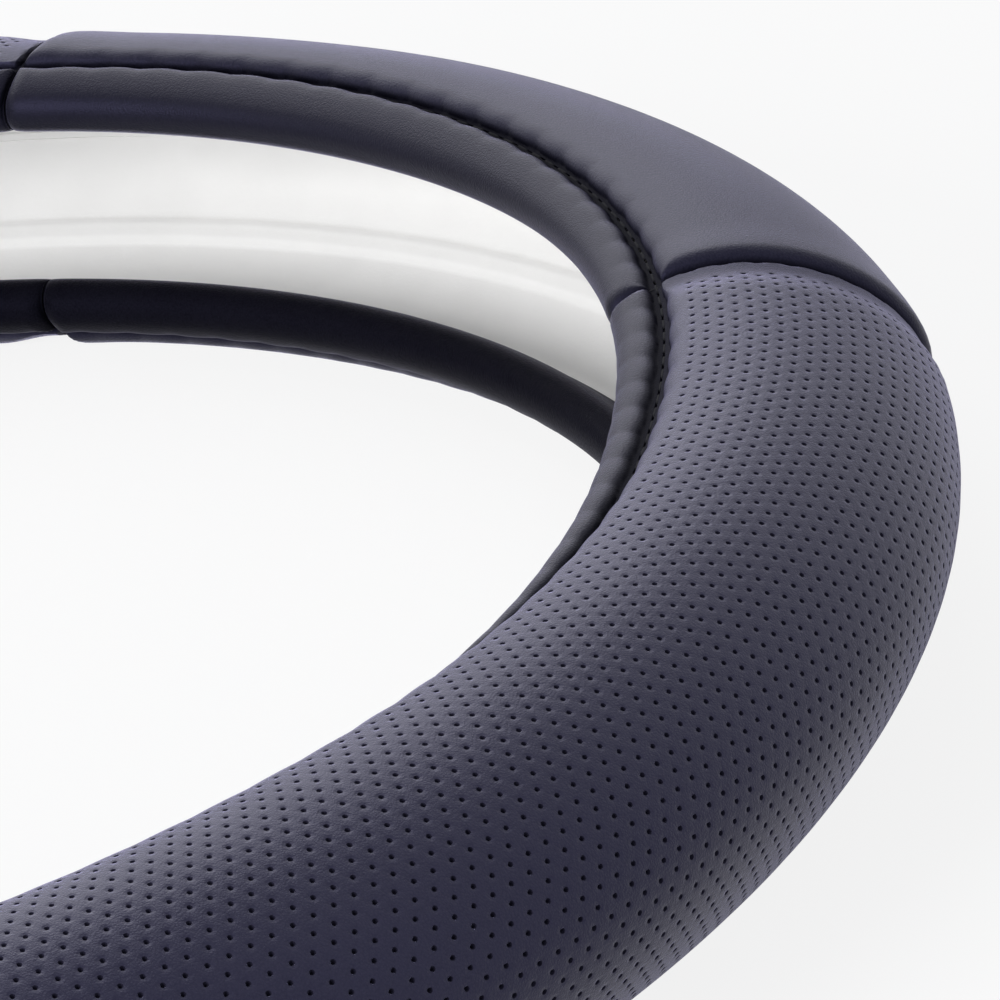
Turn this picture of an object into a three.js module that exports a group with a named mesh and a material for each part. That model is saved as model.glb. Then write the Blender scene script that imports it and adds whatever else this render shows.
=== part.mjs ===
// Steering wheel cover for a wheel of about 38 cm: a soft rubber ring with an open, C-shaped section,
// dressed in four leather panels and in narrow edge strips that fold round the two lips of the ring.
// Millimetres and degrees. +Z is the driver's side, +Y is 12 o'clock, +X is 3 o'clock.
// The cover lies on its back: the floor is at z = 0 and the wheel's axis is the Z axis.
//
// A place on the tube is given by two angles and a depth: the turn about the wheel's axis (0 at 3 o'clock),
// the angle round the tube's section (0 at the outermost line, 90 at the driver's side), and the depth
// below the leather's outer surface.

import * as THREE from "three";

// Ring and tube
const ringRadius = 170; // wheel's axis to the middle of the tube
const tubeRadius = 24; // mean half-width of the dressed tube
const pearSwell = 1.4; // how far the section swells towards three sides, like a soft pear
const pearAngle = 5.5; // the first of those three sides
const pressedDepth = 0.4; // how far the cover's own weight flattens the tube where it lies

// Layers, from outside to inside
const leatherThickness = 2.6; // leather with its sponge backing
const linerWall = 3.2;
const tailThickness = 1.2; // the skived end of an edge strip, glued inside the liner
const layerGap = 0.45;

// Lips, seams and the tail of the edge strips
const frontLipAngle = 125;
const backLipAngle = -144;
const frontSeamAngle = 109;
const backSeamAngle = -129.6;
const tailLength = 8;
const seamGap = 0.3;
const seamDepth = 1.4; // how deep the leather is drawn in along a seam
const shoulderWidth = 3.2; // how wide the drawn-in shoulder is

// Panels
const smoothPanelSpan = 60; // each of the plain panels at 12 and 6 o'clock

// Grip ribs inside the liner, running round the wheel
const ribCount = 5;
const ribHeight = 0.8;
const ribWidth = 3;
const ribFlank = 0.5; // how far each flank of a rib slopes
const ribMargin = 6; // bare liner between the strip's tail and the outermost rib

// Fineness of the curved surfaces
const ringStep = 7.5; // largest turn between two stations along the ring
const sectionStep = 18; // largest angle between two points of a section
const noseSteps = 5; // facets round the outside of a lip
const foldSteps = 3; // facets round the liner's own lip

// Shares of the shoulder's width where it gets a point
const shoulderShares = [0, 0.35];

// Depths that follow from the layers
const linerOuterDepth = leatherThickness + layerGap;
const linerInnerDepth = linerOuterDepth + linerWall;
const linerLipDepth = linerOuterDepth + linerWall / 2;
const tailOuterDepth = linerInnerDepth + layerGap;
const tailInnerDepth = tailOuterDepth + tailThickness;

// Half-width of the dressed tube towards one side of its section, and how it changes with the angle
function halfWidth(angle) {
  return tubeRadius + pearSwell * Math.cos(3 * THREE.MathUtils.degToRad(angle - pearAngle));
}

function halfWidthSlope(angle) {
  return -3 * pearSwell * Math.sin(3 * THREE.MathUtils.degToRad(angle - pearAngle));
}

const centreHeight = halfWidth(-90) - pressedDepth;

// Half of the angle that the flat underneath takes up, where the tube is pressed on the floor
const flatHalfAngle = THREE.MathUtils.radToDeg(Math.acos(1 - pressedDepth / tubeRadius));

// Unit vectors of the section at an angle: away from the tube's middle, and on round the section
function outwardAt(angle) {
  const turn = THREE.MathUtils.degToRad(angle);
  return new THREE.Vector2(Math.cos(turn), Math.sin(turn));
}

function onwardAt(angle) {
  const turn = THREE.MathUtils.degToRad(angle);
  return new THREE.Vector2(-Math.sin(turn), Math.cos(turn));
}

// Point of the section, as distance from the wheel's axis and height above the floor
function sectionPoint(angle, depth) {
  return new THREE.Vector2(ringRadius, centreHeight)
    .addScaledVector(outwardAt(angle), halfWidth(angle) - depth)
    .addScaledVector(onwardAt(angle), halfWidthSlope(angle));
}

// Angle that a distance along the section, or along the ring, takes up
function sectionAngleOf(distance) {
  return THREE.MathUtils.radToDeg(distance / tubeRadius);
}

function ringAngleOf(distance) {
  return THREE.MathUtils.radToDeg(distance / (ringRadius - tubeRadius));
}

// Even steps from one angle to another, both ends included
function evenAngles(from, to, largestStep) {
  const count = Math.max(1, Math.ceil(Math.abs(to - from) / largestStep));
  return Array.from({ length: count + 1 }, (_, i) => from + ((to - from) * i) / count);
}

// How far the leather is drawn in at a share of the shoulder's width away from a seam: a quarter round
function shoulderDrop(share) {
  const rest = 1 - share;
  return seamDepth * (1 - Math.sqrt(1 - rest * rest));
}

// Angles and drops across a stretch of leather that has a seam at both ends
function seamedStretch(from, to, angleOf, largestStep) {
  const edge = angleOf(seamGap / 2);
  const shoulder = angleOf(shoulderWidth);
  const start = shoulderShares.map((share) => ({
    angle: from + edge + shoulder * share,
    drop: shoulderDrop(share),
  }));
  const middle = evenAngles(from + edge + shoulder, to - edge - shoulder, largestStep).map((angle) => ({
    angle,
    drop: 0,
  }));
  const end = shoulderShares.map((share) => ({
    angle: to - edge - shoulder * share,
    drop: shoulderDrop(share),
  }));
  return [...start, ...middle, ...end.reverse()];
}

// Angles and drops of a panel's skin, with a point at each edge of the flat that it lies on
function panelStretch() {
  const round = seamedStretch(backSeamAngle, frontSeamAngle, sectionAngleOf, sectionStep).filter(
    ({ angle }) => Math.abs(angle + 90) > flatHalfAngle,
  );
  const flatEdges = [-1, 1].map((side) => ({ angle: -90 + side * flatHalfAngle, drop: 0, flat: true }));
  return [...round, ...flatEdges].sort((a, b) => a.angle - b.angle);
}

// Closed outline of a panel's section, where the seam across the panel draws it in by crossDrop
function panelOutline(crossDrop) {
  const outer = panelStretch();
  const skin = outer.map(({ angle, drop, flat }) => {
    const point = sectionPoint(angle, Math.max(drop, crossDrop));
    point.y = flat && crossDrop === 0 ? 0 : Math.max(point.y, 0);
    return point;
  });
  const ends = [outer[0].angle, outer[outer.length - 1].angle];
  const backing = evenAngles(ends[1], ends[0], sectionStep).map((angle) => sectionPoint(angle, leatherThickness));
  return [...skin, ...backing];
}

// Half turn round a lip, from its outside to its inside. side is 1 at the front lip and -1 at the back lip.
function lipArc(lipAngle, side, depth, radiusAt, steps) {
  const centre = sectionPoint(lipAngle, depth);
  const outward = outwardAt(lipAngle);
  const tip = onwardAt(lipAngle).multiplyScalar(side);
  return Array.from({ length: steps + 1 }, (_, i) => {
    const turn = (Math.PI * i) / steps;
    return centre
      .clone()
      .addScaledVector(outward, radiusAt(turn) * Math.cos(turn))
      .addScaledVector(tip, radiusAt(turn) * Math.sin(turn));
  });
}

// Closed outline of an edge strip: over the lip, along the liner's inside and back
function stripOutline(seamAngle, lipAngle, side, crossDrop) {
  const edge = sectionAngleOf(seamGap / 2) * side;
  const shoulder = sectionAngleOf(shoulderWidth) * side;
  const start = seamAngle + edge;
  const drawnIn = shoulderShares.map((share) =>
    sectionPoint(start + shoulder * share, Math.max(shoulderDrop(share), crossDrop)),
  );
  const outer = [sectionPoint(start + shoulder, crossDrop)];
  const noseRadius = tailInnerDepth / 2;
  const nose = lipArc(
    lipAngle,
    side,
    noseRadius,
    (turn) => noseRadius - (crossDrop * (1 + Math.cos(turn))) / 2,
    noseSteps,
  );
  const tailEnd = lipAngle - THREE.MathUtils.radToDeg(tailLength / (tubeRadius - tailInnerDepth)) * side;
  const tail = [sectionPoint(tailEnd, tailInnerDepth), sectionPoint(tailEnd, tailOuterDepth)];
  const fold = lipArc(lipAngle, side, linerLipDepth, () => linerWall / 2 + layerGap, foldSteps).reverse();
  const backing = [sectionPoint(start, leatherThickness)];
  const outline = [...drawnIn, ...outer, ...nose, ...tail, ...fold, ...backing];
  return side > 0 ? outline : outline.reverse();
}

// Closed outline of the liner's section, with the grip ribs on its inside
function linerOutline() {
  const underPanel = panelStretch()
    .filter(({ drop }) => drop === 0)
    .map(({ angle }) => angle);
  const outer = [backLipAngle, backSeamAngle, ...underPanel, frontSeamAngle, frontLipAngle].map((angle) =>
    sectionPoint(angle, linerOuterDepth),
  );
  const round = () => linerWall / 2;
  const frontLip = lipArc(frontLipAngle, 1, linerLipDepth, round, foldSteps).slice(1, -1);
  const backLip = lipArc(backLipAngle, -1, linerLipDepth, round, foldSteps).slice(1, -1).reverse();
  const innerAngleOf = (distance) => THREE.MathUtils.radToDeg(distance / (tubeRadius - linerInnerDepth));
  const bare = innerAngleOf(tailLength + ribMargin);
  const ribAngles = Array.from(
    { length: ribCount },
    (_, i) => frontLipAngle - bare + ((backLipAngle - frontLipAngle + 2 * bare) * i) / (ribCount - 1),
  );
  const half = innerAngleOf(ribWidth / 2);
  const crest = innerAngleOf(ribWidth / 2 - ribFlank);
  const ribs = ribAngles.flatMap((angle) => [
    sectionPoint(angle + half, linerInnerDepth),
    sectionPoint(angle + crest, linerInnerDepth + ribHeight),
    sectionPoint(angle - crest, linerInnerDepth + ribHeight),
    sectionPoint(angle - half, linerInnerDepth),
  ]);
  const frontInside = [
    sectionPoint(frontLipAngle, linerInnerDepth),
    sectionPoint(frontLipAngle - bare / 2, linerInnerDepth),
  ];
  const backInside = [
    sectionPoint(backLipAngle + bare / 2, linerInnerDepth),
    sectionPoint(backLipAngle, linerInnerDepth),
  ];
  return [...outer, ...frontLip, ...frontInside, ...ribs, ...backInside, ...backLip];
}

// Solid through a row of outlines, each at its own turn about the wheel's axis, with flat ends or as a full ring.
// Outlines run anticlockwise as seen from the lower turn, and all have as many points.
function loftRoundWheel(stations, closed = false) {
  const size = stations[0].outline.length;
  const positions = stations.flatMap(({ turn, outline }) => {
    const angle = THREE.MathUtils.degToRad(turn);
    return outline.flatMap((point) => [point.x * Math.cos(angle), point.x * Math.sin(angle), point.y]);
  });
  const faces = [];
  const spans = closed ? stations.length : stations.length - 1;
  for (let row = 0; row < spans; row++) {
    const nextRow = (row + 1) % stations.length;
    for (let i = 0; i < size; i++) {
      const nextPoint = (i + 1) % size;
      const [a, b] = [row * size + i, row * size + nextPoint];
      const [c, d] = [nextRow * size + i, nextRow * size + nextPoint];
      faces.push(a, d, b, a, c, d);
    }
  }
  const cap = (row, flip) => {
    const first = row * size;
    for (const [a, b, c] of THREE.ShapeUtils.triangulateShape(stations[row].outline, [])) {
      faces.push(first + a, first + (flip ? c : b), first + (flip ? b : c));
    }
  };
  if (!closed) {
    cap(0, false);
    cap(stations.length - 1, true);
  }
  const geometry = new THREE.BufferGeometry();
  geometry.setAttribute("position", new THREE.Float32BufferAttribute(positions, 3));
  geometry.setIndex(faces);
  geometry.computeVertexNormals();
  return geometry;
}

// Piece of leather between two seams that cross the tube
function leatherPiece(from, to, outlineAt) {
  const stretch = seamedStretch(from, to, ringAngleOf, ringStep);
  return loftRoundWheel(stretch.map(({ angle, drop }) => ({ turn: angle, outline: outlineAt(drop) })));
}

// Liner all the way round, with its stations where the leather over it has them
function linerRing(stretches) {
  const outline = linerOutline();
  const turns = stretches.flatMap(({ from, to }) =>
    seamedStretch(from, to, ringAngleOf, ringStep)
      .filter(({ drop }) => drop === 0)
      .map(({ angle }) => angle),
  );
  return loftRoundWheel(turns.map((turn) => ({ turn, outline })), true);
}

const smoothLeather = new THREE.MeshStandardMaterial({ color: 0x34343f, roughness: 0.6, metalness: 0 });
const perforatedLeather = new THREE.MeshStandardMaterial({ color: 0x3a3a46, roughness: 0.65, metalness: 0 });
const stripLeather = new THREE.MeshStandardMaterial({ color: 0x32323c, roughness: 0.6, metalness: 0 });
const paleRubber = new THREE.MeshStandardMaterial({ color: 0xd6d6d2, roughness: 0.8, metalness: 0 });

const cover = new THREE.Group();

function addPiece(name, geometry, material) {
  const mesh = new THREE.Mesh(geometry, material);
  mesh.name = name;
  cover.add(mesh);
}

// The four stretches of leather, each from the seam on its right-hand side to the one on its left
const halfSmooth = smoothPanelSpan / 2;
const stretches = [
  { side: "right", panel: "perforated_panel", from: -90 + halfSmooth, to: 90 - halfSmooth, leather: perforatedLeather },
  { side: "top", panel: "smooth_panel", from: 90 - halfSmooth, to: 90 + halfSmooth, leather: smoothLeather },
  { side: "left", panel: "perforated_panel", from: 90 + halfSmooth, to: 270 - halfSmooth, leather: perforatedLeather },
  { side: "bottom", panel: "smooth_panel", from: 270 - halfSmooth, to: 270 + halfSmooth, leather: smoothLeather },
];

addPiece("rubber_liner", linerRing(stretches), paleRubber);

for (const { side, panel, from, to, leather } of stretches) {
  addPiece(`${panel}_${side}`, leatherPiece(from, to, panelOutline), leather);
  const frontOutline = (drop) => stripOutline(frontSeamAngle, frontLipAngle, 1, drop);
  const backOutline = (drop) => stripOutline(backSeamAngle, backLipAngle, -1, drop);
  addPiece(`front_strip_${side}`, leatherPiece(from, to, frontOutline), stripLeather);
  addPiece(`back_strip_${side}`, leatherPiece(from, to, backOutline), stripLeather);
}

export default cover;
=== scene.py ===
"""Leather, seams and pale rubber of a steering wheel cover, made around its measured model."""
import math

import bpy
import numpy as np
from bpy.props import FloatProperty, FloatVectorProperty, IntProperty, PointerProperty
from mathutils import Matrix, Vector


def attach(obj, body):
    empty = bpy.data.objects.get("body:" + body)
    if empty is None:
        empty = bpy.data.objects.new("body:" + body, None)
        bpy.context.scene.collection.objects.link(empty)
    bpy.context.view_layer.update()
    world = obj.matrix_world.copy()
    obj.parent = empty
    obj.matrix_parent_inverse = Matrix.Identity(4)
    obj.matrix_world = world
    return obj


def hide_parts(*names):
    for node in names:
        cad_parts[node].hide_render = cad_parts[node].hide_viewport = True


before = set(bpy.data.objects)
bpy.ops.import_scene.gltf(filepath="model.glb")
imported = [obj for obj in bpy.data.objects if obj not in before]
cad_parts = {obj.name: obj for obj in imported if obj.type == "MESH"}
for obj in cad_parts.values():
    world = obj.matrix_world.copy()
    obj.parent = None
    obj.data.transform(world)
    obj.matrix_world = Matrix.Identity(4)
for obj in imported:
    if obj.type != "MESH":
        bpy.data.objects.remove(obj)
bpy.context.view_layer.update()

bl_info = {
    "name": "Steering Wheel Cover",
    "version": (1, 0, 0),
    "blender": (4, 5, 0),
    "location": "3D View > Sidebar > Wheel Cover",
    "description": "Dresses a ring-shaped steering wheel cover in sewn and perforated leather",
    "category": "Object",
}

BODY = "root"
MILLIMETRE = 0.001

# Points that lie closer together than this are one point, and the slack of a count or comparison
SAME_POINT = 0.001 * MILLIMETRE
ROUNDING = 1e-9

# Bends sharper than these stay sharp in the shading
PERFORATED_CREASE = math.radians(38)
LEATHER_CREASE = math.radians(60)
RUBBER_CREASE = math.radians(50)

# Lines of points beside a seam, as shares of the leather that rolls into it, and how many of them are rolled
SEAM_SHARES = (0.0, 0.04, 0.08, 0.12, 0.17, 0.24, 0.33, 0.45, 0.6, 0.8, 1.0)
ROLLED_LINES = len(SEAM_SHARES) - 1

# Distance between two lines of points away from the seams
PLAIN_STEP_ALONG = 0.55 * MILLIMETRE
PLAIN_STEP_ROUND = 1.4 * MILLIMETRE
STRIP_STEP = 0.6 * MILLIMETRE

# A panel's hidden backing keeps one line in so many
PERFORATED_THINNING = 9
PLAIN_THINNING = 7

# Steps round the strip's outer fold, its inner fold, its tail and the liner's lip
NOSE_STEPS = 14
FOLD_STEPS = 8
TAIL_STEPS = 4
LIP_STEPS = 10

# Points on the liner's outside and inside, and stations round the ring
LINER_OUTER_POINTS = 61
LINER_INNER_POINTS = 181
LINER_STATIONS = 240

# Points on the path of a long seam's thread, and of a seam across the tube
LONG_PATH_POINTS = 400
CROSS_PATH_POINTS = 300

# How pointed the puffs between two tight stitches are, and how far they sway the groove's bottom and flank
PUFF_POWER = 1.2
VALLEY_SWAY = 1.5
FLANK_SWAY = 0.5

# Place and spread of the ridge beside a cross seam, as shares of its shoulder
RIDGE_CREST = 1.3
RIDGE_SPREAD = 2.4

# Distance from a seam, in shoulders, at which the leather is as uneven, and the ridge as high, as elsewhere
CALM_REACH = 3
RIDGE_REACH = 2

# How far a panel's rolled edge reaches, in shoulders
ROLLED_REACH = 1.6

# How deep a strip's ends roll in, as a share of the groove
STRIP_END_SHARE = 0.8

# Flank of a rib, as a share of its width
RIB_FLANK = 0.2

# Share of the grain's cells, fine noise and broad patches in the leather's tone, height and roughness
CELL_TONE, FINE_TONE, PATCH_TONE = 0.6, 1.1, 0.7
CELL_HEIGHT, FINE_HEIGHT = 0.6, 0.6
FINE_ROUGHNESS, PATCH_ROUGHNESS = 0.16, 0.08

# Where a hole's rim starts and ends and its dimple ends, in hole radii, and where that starts, in rows;
# inside the rim the leather is rougher and darkened by painted shadow
RIM_START, RIM_END, DIMPLE_END = 1.05, 0.85, 0.5
DIMPLE_START = 0.45
DIMPLE_RELIEF = 1.2

# Depth in a seam, as a share of the groove, at which the painted seam shadow starts and is full
SEAM_SHADOW_START, SEAM_SHADOW_END = 0.25, 0.9

# Waves of noise per metre in the thread's twist and in the rubber's fine and broad mottle
TWIST_WAVES = 5200.0
MOTTLE_WAVES = 1400.0
CLOUD_WAVES = 35.0

# The unevenness of leather over sponge: radians per millimetre along the ring and round it, phase, weight
SOFT_WAVES = (
    (0.071, 0.022, 0.3, 1.0),
    (-0.038, 0.083, 1.9, 0.8),
    (0.127, -0.061, 4.1, 0.45),
    (0.019, 0.142, 2.7, 0.4),
)

# Map value of the leather's underside, which lies off the pattern of holes
OFF_PATTERN = -2.0

# How far the soft front lip stands in towards the wheel's axis, in millimetres, at every 15 degrees of turn
LIP_WAVES = (-0.6, -1.8, 0.5, 2.6, 1.9, 0.5, 0.0, 0.0, 0.0, 0.3, -0.5, 0.6)
LIP_WAVES += (0.0, -0.8, 0.5, 1.2, -0.4, -1.0, 0.6, 1.0, 0.4, 0.6, 0.4, 0.0)

# How far it hangs down, in millimetres, at the same turns
LIP_DROPS = (1.2, 0.8, 0.1, 0.0, 0.0, 0.0, 0.2, 0.0, 0.0, 0.3, 0.0, 0.0)
LIP_DROPS += (0.2, 0.0, 0.0, 0.3, 0.0, 0.0, 0.0, 0.2, 0.4, 0.2, 0.6, 1.0)

# How far the front seam wanders round the section, in degrees, at the same turns
SEAM_WAVES = (6.5, 2.4, 1.9, 3.2, 0.6, -4.2, -7.8, -9.4, -8.4, -6.5, -4.0, -2.0)
SEAM_WAVES += (0.0, 1.0, 1.5, 1.0, 0.0, -1.0, -1.5, -0.6, 1.2, 3.0, 5.0, 7.0)


def length(name, description, millimetres):
    """A size in metres, with its default given in millimetres."""
    return FloatProperty(
        name=name, description=description, default=millimetres * MILLIMETRE, subtype="DISTANCE", precision=5
    )


def angle(name, description, degrees):
    """An angle in radians, with its default given in degrees."""
    return FloatProperty(name=name, description=description, default=math.radians(degrees), subtype="ANGLE")


def amount(name, description, default):
    """A plain number."""
    return FloatProperty(name=name, description=description, default=default, precision=4)


def colour(name, description, default):
    """A linear colour."""
    return FloatVectorProperty(name=name, description=description, default=default, size=3, subtype="COLOR")


def waves(name, description, values, unit):
    """Numbers that are spaced evenly round the ring, given in a unit."""
    default = [value * unit for value in values]
    return FloatVectorProperty(
        name=name, description=description, default=default, size=len(values), precision=5
    )


class CoverShape(bpy.types.PropertyGroup):
    """Ring, tube and layers of the cover."""

    ring_radius: length("Ring radius", "From the wheel's axis to the middle of the tube", 170)
    tube_radius: length("Tube radius", "Mean half-width of the dressed tube", 24)
    pear_swell: length("Pear swell", "How far the section swells towards three sides", 1.4)
    pear_angle: angle("Pear angle", "The first of those three sides", 5.5)
    pressed_depth: length("Pressed depth", "How far the tube is flattened where it lies", 0.4)
    leather_thickness: length("Leather thickness", "Leather with its sponge backing", 2.6)
    liner_wall: length("Liner wall", "Wall of the rubber liner", 3.2)
    tail_thickness: length("Tail thickness", "Skived end of an edge strip inside the liner", 1.2)
    tail_length: length("Tail length", "How far an edge strip reaches inside the liner", 8)
    layer_gap: length("Layer gap", "Clearance between two layers", 0.45)
    front_lip: angle("Front lip", "Place of the front lip on the section", 125)
    back_lip: angle("Back lip", "Place of the back lip on the section", -144)
    front_seam: angle("Front seam", "Place of the long front seam", 109)
    back_seam: angle("Back seam", "Place of the long back seam", -129.6)
    lip_waves: waves("Lip waves", "How far the soft front lip stands in", LIP_WAVES, MILLIMETRE)
    lip_drops: waves("Lip drops", "How far the soft front lip hangs down", LIP_DROPS, MILLIMETRE)
    seam_waves: waves("Seam waves", "How far the front seam wanders", SEAM_WAVES, math.radians(1))
    smooth_span: angle("Plain panel span", "Turn that each plain panel takes up", 60)
    seam_gap: length("Seam gap", "Clearance between two sewn pieces", 0.3)
    rib_count: IntProperty(name="Grip ribs", description="Ribs inside the liner", default=5, min=2)
    rib_height: length("Rib height", "Height of a grip rib", 0.8)
    rib_width: length("Rib width", "Width of a grip rib", 3)
    rib_margin: length("Rib margin", "Bare liner beside the outermost rib", 6)


class SeamShape(bpy.types.PropertyGroup):
    """How the leather is drawn in along its seams."""

    groove: length("Groove", "Depth of a seam's groove", 2.0)
    valley: length("Valley", "Half-width of the groove's bottom", 0.7)
    shoulder: length("Shoulder", "Width over which the leather rolls into a seam", 2.8)
    sink: length("Sink", "How far the perforated leather lies below the plain leather's ridge", 1.0)
    sink_flat: length("Sink flat", "Width of the lowest part beside the seam", 2.8)
    sink_width: length("Sink width", "Width over which it has risen again", 12)
    ridge: length("Ridge", "Height of the plain leather's ridge beside a seam across the tube", 0.3)
    ridge_valley: length("Ridge foot", "Half-width of the groove's bottom below the ridge", 0.2)
    ridge_shoulder: length("Ridge shoulder", "Width over which the ridge rolls into the seam", 2.4)
    pucker_pitch: length("Pucker pitch", "Distance between two tight stitches of a long seam", 8.35)
    cross_pitch: length("Cross pitch", "The same on a seam across the tube", 4.8)
    pucker: amount("Pucker", "How much a tight stitch widens the groove", 0.13)
    unevenness: length("Unevenness", "Height of the leather's soft dents and waves", 0.12)
    thread_radius: length("Thread radius", "Radius of the sewing thread", 0.28)
    stitch_share: amount("Stitch share", "Length of a stitch as a share of its pitch", 0.78)
    thread_depth: length("Thread depth", "Depth of the thread's middle below the leather", 2.2)


class Perforation(bpy.types.PropertyGroup):
    """Staggered grid of small round holes."""

    pitch: length("Pitch", "Distance between two holes along the ring", 2.8)
    row: length("Row distance", "Distance between two rows of holes", 1.97)
    radius: length("Hole radius", "Radius of a hole", 0.38)
    depth: length("Hole depth", "Depth of a hole", 0.9)
    dimple: length("Dimple", "How far the leather sinks towards each hole", 0.065)
    margin: length("Seam margin", "Plain leather beside a long seam", 3.4)
    end_margin: length("End margin", "Plain leather beside a seam across the tube", 3.6)


class Finish(bpy.types.PropertyGroup):
    """Colours and surface of the leather, the thread and the rubber."""

    leather_dark: colour("Leather, dark", "Deep tone of the leather", (0.005, 0.005, 0.010))
    leather_light: colour("Leather, light", "Light tone of the leather's grain", (0.017, 0.0165, 0.028))
    sheen_tint: colour("Sheen tint", "Tint of the leather's soft sheen", (0.66, 0.63, 1.0))
    specular_tint: colour("Gloss tint", "Tint of the leather's soft gloss", (0.55, 0.53, 1.0))
    # Painted shade: every edge strip has its leather's tones darkened to this share
    strip_painted_shade: amount("Strip shade", "Brightness of the edge strips beside the panels", 0.4)
    panel_gloss: amount("Panel gloss", "Gloss of the perforated panels", 1.25)
    plain_gloss: amount("Plain gloss", "Gloss of the plain panels", 0.82)
    front_gloss: amount("Front gloss", "Gloss of the front strips", 0.75)
    # Painted shade: the back strips get a duller, darker copy of the leather, standing in for the shade they
    # lie in
    back_shaded_gloss: amount("Back gloss", "Gloss of the back strips", 0.22)
    # Painted shadow in the seams: how far a seam's bottom is mixed towards a darker, dull leather
    seam_shadow_share: amount("Groove shade", "How far the bottom of a seam loses the leather's gloss", 0.85)
    thread_colour: colour("Thread", "Colour of the sewing thread", (0.006, 0.006, 0.010))
    rubber_colour: colour("Liner", "Colour of the rubber liner", (0.90, 0.895, 0.885))
    roughness: amount("Leather roughness", "Mean roughness of the leather", 0.44)
    gloss: amount("Gloss", "How far the leather's index of refraction stands above 1", 0.39)
    sheen: amount("Sheen", "Strength of the leather's sheen", 0.7)
    sheen_roughness: amount("Sheen roughness", "Roughness of the leather's sheen", 0.25)
    # Painted shadow: the leather inside each hole is darkened to this share of the dark tone
    hole_painted_shadow: amount("Hole shade", "Brightness inside a hole, beside the dark leather", 0.12)
    hole_roughness: amount("Hole roughness", "How much rougher the leather is inside a hole", 0.4)
    # Painted shadow in the seams: brightness of that darker leather, as a share of the dark tone
    seam_shadow_tone: amount("Seam shade", "Brightness of a seam's bottom, beside the dark leather", 0.5)
    thread_roughness: amount("Thread roughness", "Least roughness of the thread", 0.75)
    rubber_roughness: amount("Liner roughness", "Least roughness of the rubber", 0.62)
    grain_size: length("Grain size", "Width of one grain of the leather", 0.32)
    grain_height: length("Grain height", "Height of the leather's grain", 0.07)
    patch_size: length("Patch size", "Width of the leather's lighter and darker patches", 45)
    twist_height: length("Twist height", "Height of the thread's twist", 0.04)
    mottle_height: length("Mottle height", "Height of the rubber's mottle", 0.03)


class Studio(bpy.types.PropertyGroup):
    """Camera, lamps and floor."""

    camera_radius: length("Camera radius", "Distance of the camera from the wheel's axis", 976.852)
    camera_height: length("Camera height", "Height of the camera above the floor", 441.251)
    camera_place: angle("Camera place", "Turn about the wheel's axis at which the camera stands", -25.819)
    camera_heading: angle("Camera heading", "How far right of the axis the camera looks", 7.7681)
    camera_dip: angle("Camera dip", "How far below the horizon the camera looks", 23.4092)
    camera_roll: angle("Camera roll", "How far the camera is turned about its view", -11.1075)
    camera_lens: amount("Camera lens", "Focal length in millimetres", 275.68)
    camera_reach: length("Camera reach", "How far the camera sees", 20000)
    floor_colour: colour("Floor", "Colour of the floor", (0.90, 0.905, 0.915))
    floor_size: length("Floor size", "Width of the floor", 8000)
    backdrop: amount("Backdrop", "How far the floor shows as a plain backdrop instead of as lit", 0.86)
    backdrop_colour: colour("Backdrop colour", "Colour behind the floor", (0.97, 0.98, 1.0))
    glow: amount("Glow", "Strength of the even light from all round", 0.34)
    glow_colour: colour("Glow colour", "Colour of the even light", (0.93, 0.95, 1.0))
    window_turn: angle("Window turn", "Turn of the broad lamp behind the cover", 157)
    window_rise: angle("Window rise", "How high above the horizon the broad lamp stands", 38)
    window_distance: length("Window distance", "From the middle of the floor to the broad lamp", 2400)
    window_size: length("Window size", "Width of the broad lamp", 2000)
    window_power: amount("Window power", "Power of the broad lamp, in watts", 23.0)
    window_aim: length("Window aim", "Height on the wheel's axis at which the broad lamp points", 0)
    front_turn: angle("Front turn", "Turn of the lamp on the camera's side", -84)
    front_rise: angle("Front rise", "How high above the horizon the front lamp stands", 22)
    front_distance: length("Front distance", "From the middle of the floor to the front lamp", 2200)
    front_size: length("Front size", "Width of the front lamp", 1200)
    front_power: amount("Front power", "Power of the front lamp, in watts", 45.0)
    front_aim: length("Front aim", "Height on the wheel's axis at which the front lamp points", 20)


class Value:
    """A number that a node tree works out. Arithmetic on it adds Math nodes."""

    def __init__(self, builder, socket):
        self.builder = builder
        self.socket = socket

    def math(self, operation, *others):
        return self.builder.value("ShaderNodeMath", {"operation": operation}, [self, *others])

    def __add__(self, other):
        return self.math("ADD", other)

    __radd__ = __add__

    def __sub__(self, other):
        return self.math("SUBTRACT", other)

    def __rsub__(self, other):
        return self.builder.value("ShaderNodeMath", {"operation": "SUBTRACT"}, [other, self])

    def __mul__(self, other):
        return self.math("MULTIPLY", other)

    __rmul__ = __mul__

    def __truediv__(self, other):
        return self.math("DIVIDE", other)

    def __pow__(self, other):
        return self.math("POWER", other)

    def floor(self):
        return self.math("FLOOR")

    def fraction(self):
        return self.math("FRACT")

    def remainder(self, other):
        return self.math("FLOORED_MODULO", other)

    def above(self, other):
        return self.math("GREATER_THAN", other)

    def below(self, other):
        return self.math("LESS_THAN", other)

    def ramp(self, low, high):
        """0 below low, 1 above high, and a smooth rise between; falls instead where low is the higher."""
        settings = {"interpolation_type": "SMOOTHSTEP"}
        start, end, first, last = (low, high, 0.0, 1.0) if low < high else (high, low, 1.0, 0.0)
        sockets = {"Value": self, "From Min": start, "From Max": end, "To Min": first, "To Max": last}
        return self.builder.value("ShaderNodeMapRange", settings, sockets, "Result")


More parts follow.
